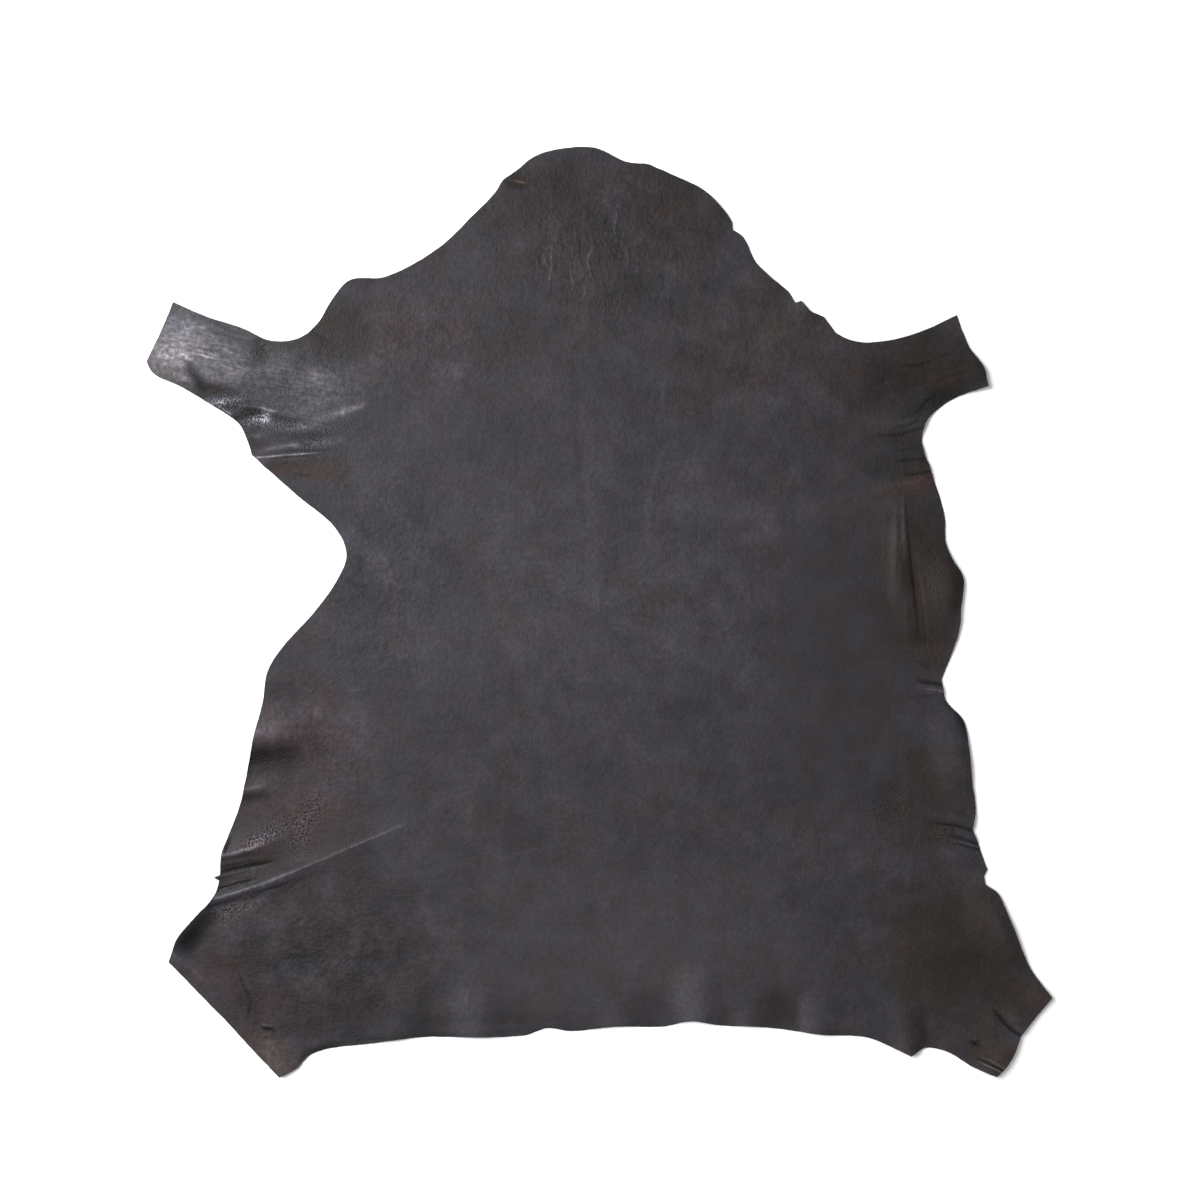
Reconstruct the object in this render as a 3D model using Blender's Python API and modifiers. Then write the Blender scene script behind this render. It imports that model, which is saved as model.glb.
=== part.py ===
"""Leather hide: one whole sheepskin, vegetable tanned, laid grain side up on a flat surface.

The skin is one sheet of even thickness. A closed smooth line through the turns of its cut edge gives the
outline, and the tables of folds and lifted edges give its height over the surface. Neck at +Y, rump at -Y.
"""

import math
from collections import namedtuple

import bmesh
import bpy
import numpy as np
from mathutils import Vector
from mathutils.geometry import delaunay_2d_cdt, interpolate_bezier

MM = 0.001

# Driving sizes, in millimetres.
SKIN_THICKNESS = 1.2
EDGE_STEP = 9.0
FLAT_PITCH = 38.0
FOLD_PITCH = 13.0
CREST_POINT_GAP = 5.85
FOLD_POINT_GAP = 9.75
FLAT_POINT_GAP = 19.0
MESH_MERGE = 0.05

LEATHER_COLOUR = (0.058, 0.053, 0.057, 1.0)
LEATHER_ROUGHNESS = 0.5

# The cut edge, clockwise from the left of the neck. Each row is one turn of the knife: where it is, and
# whether the edge rounds it ("soft") or breaks there ("sharp").
Turn = namedtuple("Turn", "x y kind")

NECK = (
    Turn(-200, 371, "soft"),
    Turn(-168, 392, "soft"),
    Turn(-135, 424, "soft"),
    Turn(-110, 450, "soft"),
    Turn(-104, 460, "sharp"),
    Turn(-88, 472, "soft"),
    Turn(-70, 486, "soft"),
    Turn(-40, 494, "soft"),
    Turn(-4, 494, "soft"),
    Turn(16, 485, "soft"),
    Turn(28, 480, "soft"),
    Turn(50, 478, "sharp"),
    Turn(78, 466, "soft"),
    Turn(110, 450, "soft"),
    Turn(130, 430, "soft"),
    Turn(140, 416, "soft"),
    Turn(141, 408, "sharp"),
    Turn(152, 400, "soft"),
    Turn(165, 374, "soft"),
    Turn(184, 355, "soft"),
    Turn(200, 342, "soft"),
    Turn(207, 330, "sharp"),
    Turn(214, 332, "sharp"),
    Turn(224, 321, "soft"),
    Turn(238, 315, "soft"),
    Turn(250, 299, "soft"),
    Turn(272, 289, "soft"),
    Turn(300, 289, "soft"),
    Turn(340, 299, "soft"),
)
RIGHT_FORE_SHANK = (
    Turn(379, 317, "sharp"),
    Turn(388, 293, "soft"),
    Turn(394, 279, "soft"),
    Turn(406, 263, "soft"),
    Turn(412, 241, "sharp"),
    Turn(382, 231, "soft"),
    Turn(362, 219, "soft"),
    Turn(346, 202, "soft"),
    Turn(342, 182, "soft"),
)
RIGHT_FLANK = (
    Turn(352, 150, "soft"),
    Turn(362, 120, "soft"),
    Turn(367, 97, "soft"),
    Turn(367, 76, "soft"),
    Turn(375, 55, "soft"),
    Turn(385, 39, "soft"),
    Turn(383, 6, "soft"),
    Turn(381, -20, "soft"),
    Turn(373, -45, "soft"),
    Turn(363, -71, "sharp"),
    Turn(367, -92, "soft"),
    Turn(386, -115, "soft"),
    Turn(391, -140, "soft"),
    Turn(395, -180, "soft"),
    Turn(399, -208, "soft"),
    Turn(396, -231, "sharp"),
    Turn(403, -248, "soft"),
    Turn(409, -266, "soft"),
    Turn(412, -273, "sharp"),
    Turn(408, -280, "soft"),
    Turn(409, -289, "sharp"),
    Turn(421, -297, "soft"),
    Turn(434, -324, "soft"),
    Turn(442, -343, "soft"),
    Turn(449, -361, "soft"),
    Turn(459, -381, "soft"),
)
RIGHT_HIND_SHANK = (
    Turn(480, -409, "sharp"),
    Turn(461, -432, "soft"),
    Turn(446, -450, "sharp"),
    Turn(442, -464, "soft"),
    Turn(430, -484, "soft"),
    Turn(421, -493, "sharp"),
    Turn(394, -482, "soft"),
    Turn(371, -468, "soft"),
    Turn(344, -463, "soft"),
    Turn(330, -471, "sharp"),
)
RUMP = (
    Turn(306, -460, "soft"),
    Turn(284, -452, "soft"),
    Turn(240, -449, "soft"),
    Turn(165, -440, "soft"),
    Turn(128, -439, "soft"),
    Turn(97, -434, "soft"),
    Turn(68, -440, "soft"),
    Turn(14, -440, "soft"),
    Turn(-33, -445, "soft"),
    Turn(-58, -442, "soft"),
    Turn(-78, -449, "soft"),
    Turn(-135, -451, "soft"),
    Turn(-200, -452, "soft"),
    Turn(-242, -458, "soft"),
    Turn(-310, -471, "soft"),
)
LEFT_HIND_SHANK = (
    Turn(-322, -484, "soft"),
    Turn(-341, -494, "sharp"),
    Turn(-357, -479, "soft"),
    Turn(-398, -435, "soft"),
    Turn(-439, -393, "soft"),
    Turn(-459, -371, "sharp"),
    Turn(-450, -346, "soft"),
    Turn(-430, -322, "soft"),
    Turn(-408, -296, "soft"),
)
LEFT_FLANK = (
    Turn(-406, -285, "sharp"),
    Turn(-411, -282, "sharp"),
    Turn(-405, -279, "sharp"),
    Turn(-403, -259, "soft"),
    Turn(-398, -243, "soft"),
    Turn(-383, -202, "soft"),
    Turn(-371, -143, "soft"),
    Turn(-359, -92, "soft"),
    Turn(-354, -62, "soft"),
    Turn(-341, -40, "soft"),
    Turn(-303, 3, "soft"),
    Turn(-281, 34, "soft"),
    Turn(-270, 61, "soft"),
    Turn(-279, 86, "soft"),
    Turn(-324, 126, "soft"),
)
LEFT_FORE_SHANK = (
    Turn(-371, 168, "sharp"),
    Turn(-376, 186, "soft"),
    Turn(-385, 201, "soft"),
    Turn(-418, 224, "soft"),
    Turn(-450, 243, "soft"),
    Turn(-474, 254, "soft"),
    Turn(-481, 266, "sharp"),
    Turn(-469, 294, "soft"),
    Turn(-455, 331, "sharp"),
    Turn(-421, 316, "soft"),
    Turn(-381, 303, "soft"),
    Turn(-352, 290, "soft"),
    Turn(-321, 292, "soft"),
    Turn(-300, 310, "soft"),
    Turn(-286, 333, "soft"),
    Turn(-267, 354, "soft"),
    Turn(-232, 357, "soft"),
)
CUT_EDGE = (
    NECK
    + RIGHT_FORE_SHANK
    + RIGHT_FLANK
    + RIGHT_HIND_SHANK
    + RUMP
    + LEFT_HIND_SHANK
    + LEFT_FLANK
    + LEFT_FORE_SHANK
)

# A short slit through the left hind shank: its middle, length, widest gap and direction in degrees.
Slit = namedtuple("Slit", "x y length width turned")
SHANK_SLIT = Slit(-353, -443, 10.0, 2.6, -14)

# Folds of the skin. Each crest runs on a curve from its inner end, past the middle, to its outer end, with
# a height at each of the three. The reach is how far the fold slopes down on the left and on the right of
# that run, and its crest is "round", or "sharp" where the skin was creased.
Fold = namedtuple("Fold", "name inner middle outer rises reach_left reach_right crest")
FOLDS = (
    Fold("hind flank main fold", (-178, -215), (-302, -264), (-420, -307), (0, 2.6, 6.5), 20, 9, "sharp"),
    Fold("hind flank small roll", (-338, -264), (-375, -277), (-414, -286), (0, 2.5, 4.5), 8, 8, "round"),
    Fold("hind flank upper roll", (-318, -230), (-360, -246), (-406, -259), (0, 3.5, 7), 14, 20, "round"),
    Fold("left flank upper wave", (-280, -128), (-330, -133), (-380, -139), (0, 3.5, 8), 21, 34, "round"),
    Fold("left flank lower wave", (-315, -183), (-352, -187), (-390, -191), (0, 1.5, 4.5), 13, 17, "round"),
    Fold("left flank bay wave", (-285, -72), (-320, -70), (-362, -76), (0, 1, 3), 20, 20, "round"),
    Fold("left armpit crease", (-258, 174), (-318, 169), (-378, 164), (0, 3, 5.5), 24, 5, "sharp"),
    Fold("left armpit roll", (-240, 196), (-308, 190), (-380, 190), (0, 3, 6.5), 17, 13, "round"),
    Fold("left shank arch", (-282, 226), (-385, 236), (-486, 262), (0, 4.5, 9), 22, 72, "round"),
    Fold("right armpit upper roll", (276, 204), (312, 200), (352, 198), (0, 2.5, 5.5), 20, 9, "round"),
    Fold("right armpit middle roll", (282, 176), (315, 172), (350, 168), (0, 1.5, 4.5), 12, 11, "round"),
    Fold("right armpit lower roll", (292, 152), (325, 153), (358, 152), (0, 2, 5), 8, 10, "round"),
    Fold("right shank arch", (312, 250), (368, 258), (416, 250), (0, 3, 6.5), 42, 24, "round"),
    Fold("right flank long fold", (320, 144), (319, 58), (338, -52), (0, 5, 0), 12, 14, "round"),
    Fold("right flank inner fold", (304, 124), (307, 58), (317, -14), (0, 1.6, 0), 8, 9, "round"),
    Fold("right flank bulge roll", (358, 104), (371, 20), (361, -62), (0, 7, 0), 24, 28, "round"),
    Fold("right flank notch fold", (318, -84), (345, -82), (372, -86), (0, 3, 6), 8, 13, "sharp"),
    Fold("right flank lower roll", (364, -82), (381, -150), (391, -226), (0, 6.5, 0), 18, 26, "round"),
    Fold("right hind flank upper fold", (328, -210), (368, -218), (406, -226), (0, 3, 5.5), 15, 9, "round"),
    Fold("right hind flank lower fold", (352, -229), (382, -236), (410, -242), (0, 2.5, 5), 8, 8, "round"),
    Fold("right hind flank edge roll", (398, -262), (431, -338), (468, -408), (0, 6, 0), 18, 28, "round"),
    Fold("right hind shank crease", (412, -414), (430, -434), (452, -457), (0, -3.5, -5.5), 8, 8, "sharp"),
    Fold("rump far left wave", (-210, -378), (-214, -416), (-217, -460), (0, 1.5, 4), 30, 30, "round"),
    Fold("rump left wave", (-122, -362), (-125, -408), (-127, -456), (0, 2, 5), 30, 38, "round"),
    Fold("rump middle wave", (8, -384), (10, -412), (12, -444), (0, 1.5, 3.5), 36, 34, "round"),
    Fold("rump right wave", (112, -356), (110, -396), (107, -438), (0, 2, 5), 24, 34, "round"),
    Fold("rump far right wave", (160, -386), (159, -414), (158, -445), (0, 1.5, 4), 32, 20, "round"),
    Fold("rump narrow wave", (234, -384), (232, -416), (230, -452), (0, 1.5, 4), 28, 20, "round"),
    Fold("rump corner wave", (318, -384), (324, -430), (330, -476), (0, 3.5, 7), 18, 26, "round"),
    Fold("neck left wave", (-92, 424), (-98, 444), (-108, 464), (0, 1.5, 4), 22, 24, "round"),
    Fold("neck right wave", (92, 402), (112, 424), (132, 444), (0, 1.5, 4), 24, 26, "round"),
    Fold("shoulder wave", (158, 342), (178, 354), (196, 362), (0, 1.5, 4), 20, 18, "round"),
    Fold("shoulder corner wave", (196, 296), (212, 316), (228, 338), (0, 1.5, 4.5), 22, 20, "round"),
)

# Edges and corners that stand off the surface, and dents between the folds: the middle, how far it reaches
# along its direction and across it, that direction in degrees, and the height, which is less than 0 in a
# dent.
Lift = namedtuple("Lift", "name x y along across turned height")
LIFTS = (
    Lift("left shank lower dent", -416, 238, 26, 16, -35, -2.5),
    Lift("left shank upper dent", -357, 281, 30, 24, 60, -1.2),
    Lift("left shank root", -328, 284, 52, 30, -32, 3.0),
    Lift("right shank corner", 416, 238, 30, 24, 20, 3.0),
    Lift("right hind shank swell", 446, -448, 66, 44, 135, 5.5),
    Lift("right hind shank upper lobe", 480, -416, 46, 34, -52, 5.0),
    Lift("right hind shank lower lobe", 424, -488, 42, 36, 40, 6.0),
    Lift("left hind flank curl", -450, -330, 52, 36, 52, 11.0),
    Lift("left hind shank point", -468, -380, 34, 30, 40, 5.0),
    Lift("left hind shank corner", -340, -502, 46, 32, 20, 6.0),
    Lift("left flank bay edge", -352, -36, 60, 26, -48, 3.5),
    Lift("left flank bay point", -266, 66, 44, 26, 80, 3.0),
    Lift("neck top edge", -20, 502, 100, 34, -6, 4.0),
    Lift("left shoulder edge", -262, 362, 48, 24, 10, 4.0),
    Lift("right shoulder edge", 320, 286, 60, 18, 4, 2.5),
)


def remove_startup_objects():
    for thing in list(bpy.data.objects):
        bpy.data.objects.remove(thing, do_unlink=True)


def cut_edge_line(turns, step):
    """Points every step or so along the closed line through the turns, which keeps its sharp turns."""
    corners = [Vector((turn.x, turn.y)) for turn in turns]
    count = len(turns)
    leaving, arriving = [], []
    for i, turn in enumerate(turns):
        before = corners[i - 1] - corners[i]
        after = corners[(i + 1) % count] - corners[i]
        if turn.kind == "sharp":
            leaving.append(after / 3)
            arriving.append(before / 3)
            continue
        way = (after.normalized() - before.normalized()).normalized()
        leaving.append(way * after.length / 3)
        arriving.append(-way * before.length / 3)
    line = []
    for i, corner in enumerate(corners):
        following = (i + 1) % count
        pieces = max(1, round((corners[following] - corner).length / step))
        end = corners[following]
        stretch = interpolate_bezier(
            corner, corner + leaving[i], end + arriving[following], end, pieces + 1
        )
        line.extend((point.x, point.y) for point in stretch[:-1])
    return np.array(line)


def slit_line(slit, steps=4):
    """The slit's pointed-oval edge."""
    turn = math.radians(slit.turned)
    points = []
    for way in (1, -1):
        for t in np.linspace(-1, 1, steps, endpoint=False):
            along = way * t * slit.length / 2
            across = -way * (1 - t * t) * slit.width / 2
            points.append((
                slit.x + along * math.cos(turn) - across * math.sin(turn),
                slit.y + along * math.sin(turn) + across * math.cos(turn),
            ))
    return np.array(points)


def centred(points):
    """The shift that puts the middle of the points' box at the origin."""
    return -(points.min(axis=0) + points.max(axis=0)) / 2


def is_inside(points, loop):
    """Whether each point is inside the closed loop, by counting the sloping edges to its right."""
    ends = np.roll(loop, -1, axis=0)
    x, y = points[:, :1], points[:, 1:]
    spans = (loop[:, 1] > y) != (ends[:, 1] > y)
    rise = ends[:, 1] - loop[:, 1]
    rise[rise == 0] = 1
    crossing = loop[:, 0] + (y - loop[:, 1]) * (ends[:, 0] - loop[:, 0]) / rise
    return (np.sum(spans & (crossing > x), axis=1) % 2).astype(bool)


def nearest_on(points, path):
    """For each point: distance to the open path, signed to its left, and how far along it lies, 0 to 1."""
    starts, steps = path[:-1], np.diff(path, axis=0)
    lengths = np.linalg.norm(steps, axis=1)
    offset = points[:, None, :] - starts
    share = np.clip((offset * steps).sum(axis=2) / lengths**2, 0, 1)
    away = offset - share[:, :, None] * steps
    distance = np.linalg.norm(away, axis=2)
    best = distance.argmin(axis=1)
    rows = np.arange(len(points))
    side = np.sign(steps[best, 0] * away[rows, best, 1] - steps[best, 1] * away[rows, best, 0])
    walked = np.concatenate(([0], np.cumsum(lengths)))
    along = (walked[best] + share[rows, best] * lengths[best]) / walked[-1]
    return distance[rows, best] * side, along


def fold_path(fold, count=13):
    """The fold's crest, a curve through its inner end, middle and outer end."""
    inner, middle, outer = (np.array(p, dtype=float) for p in (fold.inner, fold.middle, fold.outer))
    t = np.linspace(0, 1, count)[:, None]
    pull = 2 * middle - (inner + outer) / 2
    return (1 - t) ** 2 * inner + 2 * t * (1 - t) * pull + t**2 * outer


def smooth_step(t):
    t = np.clip(t, 0, 1)
    return t * t * (3 - 2 * t)


def crest_height(rises, along):
    """The crest's height on a smooth curve through its heights at the inner end, middle and outer end."""
    low, middle, high = rises
    climb = (high - low) / 2
    first, second = 2 * along, 2 * along - 1
    to_middle = low + (middle - low) * smooth_step(first) + climb * (first**3 - first**2)
    to_end = middle + (high - middle) * smooth_step(second) + climb * (second**3 - 2 * second**2 + second)
    return np.where(along < 0.5, to_middle, to_end)


def height_over_surface(points):
    """Height of the skin's flesh side at each point, in millimetres: 0 wherever it lies flat."""
    height = np.zeros(len(points))
    for fold in FOLDS:
        across, along = nearest_on(points, fold_path(fold))
        reach = np.where(across > 0, fold.reach_left, fold.reach_right)
        drop = np.clip(1 - np.abs(across) / reach, 0, 1)
        slope = drop**2 if fold.crest == "sharp" else smooth_step(drop)
        height = height + crest_height(fold.rises, along) * slope
    for lift in LIFTS:
        turn = math.radians(lift.turned)
        offset = points - (lift.x, lift.y)
        along = (offset[:, 0] * math.cos(turn) + offset[:, 1] * math.sin(turn)) / lift.along
        across = (offset[:, 1] * math.cos(turn) - offset[:, 0] * math.sin(turn)) / lift.across
        height = height + lift.height * smooth_step(1 - np.hypot(along, across))
    return np.maximum(height, 0)


def lattice(loop, pitch):
    """Points of a triangular lattice over the loop's box."""
    low, high = loop.min(axis=0), loop.max(axis=0)
    row_gap = pitch * math.sqrt(3) / 2
    rows = []
    for i, y in enumerate(np.arange(low[1] + row_gap / 2, high[1], row_gap)):
        first = low[0] + (pitch / 2 if i % 2 else 0)
        xs = np.arange(first, high[0], pitch)
        rows.append(np.column_stack((xs, np.full_like(xs, y))))
    return np.concatenate(rows)


def crest_rows(fold):
    """Rows of points on the fold's crest, halfway down its sides and at its foot."""
    path = fold_path(fold)
    length = np.linalg.norm(np.diff(path, axis=0), axis=1).sum()
    path = fold_path(fold, 1 + round(length / FOLD_PITCH))
    way = np.gradient(path, axis=0)
    way /= np.linalg.norm(way, axis=1)[:, None]
    left = np.column_stack((-way[:, 1], way[:, 0]))
    shares = (0, 0.5 * fold.reach_left, fold.reach_left, -0.5 * fold.reach_right, -fold.reach_right)
    return np.concatenate([path + share * left for share in shares])


def keep_apart(kept, more, gap):
    """Adds the points of more that lie at least gap from every point kept so far."""
    room = np.empty((len(kept) + len(more), 2))
    room[: len(kept)] = kept
    used = len(kept)
    for point in more:
        if ((room[:used] - point) ** 2).sum(axis=1).min() > gap**2:
            room[used] = point
            used += 1
    return room[:used]


def skin_points(outline, slit):
    """Outline, slit and inner points: close together on folds and lifted edges, wide apart on the flat."""
    fixed = np.concatenate((outline, slit))
    folds = np.concatenate([crest_rows(fold) for fold in FOLDS])
    close = lattice(outline, FOLD_PITCH)
    close = close[height_over_surface(close) > 0]
    wide = lattice(outline, FLAT_PITCH)
    points = fixed
    for more, gap in ((folds, CREST_POINT_GAP), (close, FOLD_POINT_GAP), (wide, FLAT_POINT_GAP)):
        inside = is_inside(more, outline) & ~is_inside(more, slit)
        points = keep_apart(points, more[inside], gap)
    return points


def skin_surface():
    """The flesh side as an open surface, its faces up, in metres."""
    outline = cut_edge_line(CUT_EDGE, EDGE_STEP)
    slit = slit_line(SHANK_SLIT)
    shift = centred(outline)
    points = skin_points(outline, slit)
    loops, start = [], 0
    for loop in (outline, slit):
        size = len(loop)
        loops += [(start + i, start + (i + 1) % size) for i in range(size)]
        start += size
    flat, _, faces, *_ = delaunay_2d_cdt([Vector(p) for p in points], loops, [], 1, MESH_MERGE)
    flat = np.array([tuple(p) for p in flat])
    heights = height_over_surface(flat)
    surface = bmesh.new()
    corners = [
        surface.verts.new((x * MM, y * MM, z * MM))
        for (x, y), z in zip(flat + shift, heights)
    ]
    for face in faces:
        middle = flat[list(face)].mean(axis=0)[None]
        if is_inside(middle, slit)[0]:
            continue
        surface.faces.new([corners[i] for i in face])
    bmesh.ops.recalc_face_normals(surface, faces=surface.faces)
    surface.normal_update()
    if sum(face.normal.z for face in surface.faces) < 0:
        bmesh.ops.reverse_faces(surface, faces=surface.faces)
    mesh = bpy.data.meshes.new("hide")
    surface.to_mesh(mesh)
    surface.free()
    return mesh


def leather():
    """Vegetable-tanned sheepskin, dyed dark brown-grey and waxed."""
    material = bpy.data.materials.new("vegetable_tanned_sheepskin")
    material.use_nodes = True
    shader = material.node_tree.nodes["Principled BSDF"]
    shader.inputs["Base Color"].default_value = LEATHER_COLOUR
    shader.inputs["Roughness"].default_value = LEATHER_ROUGHNESS
    shader.inputs["Metallic"].default_value = 0.0
    return material


def build_hide():
    hide = bpy.data.objects.new("hide", skin_surface())
    hide.data.materials.append(leather())
    hide.data.shade_smooth()
    collection = bpy.data.collections.new("leather_hide")
    bpy.context.scene.collection.children.link(collection)
    collection.objects.link(hide)
    thickness = hide.modifiers.new("skin thickness", "SOLIDIFY")
    thickness.thickness = SKIN_THICKNESS * MM
    thickness.offset = 1.0
    return hide


remove_startup_objects()
build_hide()
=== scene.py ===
"""A whole sheepskin, vegetable tanned, dyed dark and waxed, laid out flat with its grain side up.

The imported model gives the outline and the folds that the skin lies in. Lengths here are in millimetres,
in the frame's axes: neck at +Y, rump at -Y, the surface it lies on at 0. MM turns them to metres.
"""

import math
from collections import namedtuple

import bmesh
import bpy
import numpy as np
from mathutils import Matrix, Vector, noise
from mathutils.bvhtree import BVHTree
from mathutils.geometry import delaunay_2d_cdt
from mathutils.kdtree import KDTree


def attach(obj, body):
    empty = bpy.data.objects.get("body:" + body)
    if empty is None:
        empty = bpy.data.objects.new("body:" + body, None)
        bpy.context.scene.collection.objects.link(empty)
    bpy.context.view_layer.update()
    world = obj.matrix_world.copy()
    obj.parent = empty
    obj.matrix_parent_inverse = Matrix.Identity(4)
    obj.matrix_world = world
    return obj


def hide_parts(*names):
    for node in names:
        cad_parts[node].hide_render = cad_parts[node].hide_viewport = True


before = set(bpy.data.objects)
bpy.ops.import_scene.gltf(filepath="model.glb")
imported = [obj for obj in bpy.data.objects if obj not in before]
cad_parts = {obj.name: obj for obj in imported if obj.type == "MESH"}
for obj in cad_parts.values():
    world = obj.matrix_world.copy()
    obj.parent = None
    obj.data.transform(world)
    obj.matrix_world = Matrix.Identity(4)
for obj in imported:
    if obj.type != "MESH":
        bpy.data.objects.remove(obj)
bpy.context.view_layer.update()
MM = 0.001

# ---- The cut edge ----
# The tanner's knife trims the skin once all round, neck, shanks and flanks. The line is the solid's
# own, drawn smooth between its points, with the slight waver of a blade pulled through soft leather.

EDGE_PITCH = 1.9
CORNER = math.radians(28)
WALL_TILT = 0.55
WAVER, WAVER_LENGTH = 0.28, 9.0
QUIVER_SHARE, QUIVER_TIMES, QUIVER_LAYER = 0.5, 3, 50
LIPS_APART = 0.08


def solid_of(node):
    """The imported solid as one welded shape, in millimetres."""
    shape = bmesh.new()
    shape.from_mesh(node.data)
    bmesh.ops.scale(shape, verts=shape.verts, vec=(1 / MM,) * 3)
    bmesh.ops.remove_doubles(shape, verts=shape.verts, dist=MM)
    shape.normal_update()
    return shape


def upper_rims(shape):
    """The loops of points round the solid's grain side: the outline, then the slit."""
    beside = {}
    for edge in shape.edges:
        if sum(face.normal.z > WALL_TILT for face in edge.link_faces) == 1:
            for here, there in (edge.verts, reversed(edge.verts)):
                beside.setdefault(here, []).append(there)
    loops = []
    while beside:
        loop = [next(iter(beside))]
        while loop[-1] in beside:
            following = [vert for vert in beside.pop(loop[-1]) if vert in beside]
            if following:
                loop.append(following[0])
        loops.append(np.array([vert.co[:2] for vert in loop]))
    return sorted(loops, key=len, reverse=True)


def turned_round(loop, anticlockwise):
    """The loop's points in the wanted order."""
    following = np.roll(loop, -1, axis=0)
    area = (loop[:, 0] * following[:, 1] - loop[:, 1] * following[:, 0]).sum()
    return loop if (area > 0) == anticlockwise else loop[::-1]


def drawn_smooth(loop, pitch):
    """A closed curve through the loop's points, which keeps the corners that the knife turned."""
    before, after = loop - np.roll(loop, 1, axis=0), np.roll(loop, -1, axis=0) - loop
    bend = np.abs(np.angle((after @ (1, 1j)) / (before @ (1, 1j))))
    sharp = (bend > CORNER)[:, None]
    leaving = np.where(sharp, after, (before + after) / 2)
    arriving = np.where(sharp, before, (before + after) / 2)
    line = []
    for i, start in enumerate(loop):
        end = loop[(i + 1) % len(loop)]
        steps = max(1, round(np.linalg.norm(end - start) / pitch))
        t = np.arange(steps)[:, None] / steps
        rise = t * t * (3 - 2 * t)
        line.append(
            start * (1 - rise)
            + end * rise
            + leaving[i] * (t**3 - 2 * t**2 + t)
            + arriving[(i + 1) % len(loop)] * (t**3 - t**2)
        )
    return np.concatenate(line)


def wavered(loop):
    """The loop moved in and out as a hand-held knife goes, in a slow waver and a quicker quiver."""
    way = np.roll(loop, -1, axis=0) - np.roll(loop, 1, axis=0)
    way /= np.linalg.norm(way, axis=1)[:, None]
    shift = []
    for x, y in loop:
        slow = noise.noise(Vector((x, y, 0)) / WAVER_LENGTH)
        quick = noise.noise(Vector((x, y, QUIVER_LAYER)) * QUIVER_TIMES / WAVER_LENGTH)
        shift.append(slow + QUIVER_SHARE * quick)
    return loop + WAVER * np.array(shift)[:, None] * np.column_stack((way[:, 1], -way[:, 0]))


def pressed_shut(loop):
    """The slit's loop with its two lips brought almost together, as they lie."""
    middle = loop.mean(axis=0)
    along_it = np.linalg.svd(loop - middle)[2][0]
    along = ((loop - middle) @ along_it)[:, None] * along_it
    return middle + along + LIPS_APART * (loop - middle - along)


solid = solid_of(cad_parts["hide"])
outline, slit = upper_rims(solid)
outline = wavered(drawn_smooth(turned_round(outline, True), EDGE_PITCH))
slit = pressed_shut(turned_round(slit, False))

# ---- How it lies ----
# The skin was rolled for storage and keeps soft folds at its flanks and shanks; the middle lies flat.
# The folds are the solid's, read off its grain side and drawn as one smooth sheet.

SKIN_THICKNESS = 1.2
LAY_PITCH, LAY_MARGIN, LAY_BLURS = 4.0, 4, 2
ABOVE, TINY = 100.0, 1e-6
SOLID_TREE = BVHTree.FromBMesh(solid)


def drop_to_solid(x, y):
    """Height of the solid's grain side at a point, or None beyond its edge."""
    return SOLID_TREE.ray_cast(Vector((x, y, ABOVE)), Vector((0, 0, -1)))[0]


def blurred(grid):
    """The grid with each value averaged with its neighbours, along both axes."""
    for axis in (0, 1):
        grid = (np.roll(grid, 1, axis) + 2 * grid + np.roll(grid, -1, axis)) / 4
    return grid


def solid_lay():
    """A grid of the skin's height over the surface, carried past the cut edge, and its corner."""
    corner = outline.min(axis=0) - LAY_MARGIN * LAY_PITCH
    counts = ((outline.max(axis=0) - corner) / LAY_PITCH + LAY_MARGIN + 1).astype(int)
    height, known = np.zeros(counts), np.zeros(counts)
    for i in range(counts[0]):
        for j in range(counts[1]):
            hit = drop_to_solid(*(corner + LAY_PITCH * np.array((i, j))))
            if hit is not None:
                height[i, j], known[i, j] = max(0, hit.z - SKIN_THICKNESS), 1
    for _ in range(LAY_BLURS):
        height, known = blurred(height), blurred(known)
    height, known = height / np.maximum(known, TINY), known > 0
    for _ in range(LAY_MARGIN):
        share = blurred(known.astype(float))
        height = np.where(known, height, blurred(height * known) / np.maximum(share, TINY))
        known = share > 0
    return height, corner


LAY, LAY_CORNER = solid_lay()


def lay_height(points):
    """Height of the skin's flesh side over the surface, by cubic splines through the grid."""
    place = (points - LAY_CORNER) / LAY_PITCH
    cell = place.astype(int)
    t = (place - cell)[:, :, None]
    blend = np.concatenate((
        (1 - t) ** 3, 3 * t**3 - 6 * t**2 + 4, -3 * t**3 + 3 * t**2 + 3 * t + 1, t**3
    ), axis=2) / 6
    height = np.zeros(len(points))
    for i in range(4):
        for j in range(4):
            height += blend[:, 0, i] * blend[:, 1, j] * LAY[cell[:, 0] + i - 1, cell[:, 1] + j - 1]
    return height


# ---- Creases and wrinkles ----
# Where the leather has been folded, stretched or gathered: each line is a ridge (+) or a trough (-), with
# a foot of one width, or one to its left and one to its right. Its tone is painted light: pale (+) is a
# painted highlight along ridges and rolls, dark (-) is painted shade in creases and hollows, together with
# the dye and wax such creases hold. A soft crease fades at both ends, others run over the cut edge.

Crease = namedtuple("Crease", "name line foot height tone end", defaults=("soft",))

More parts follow.
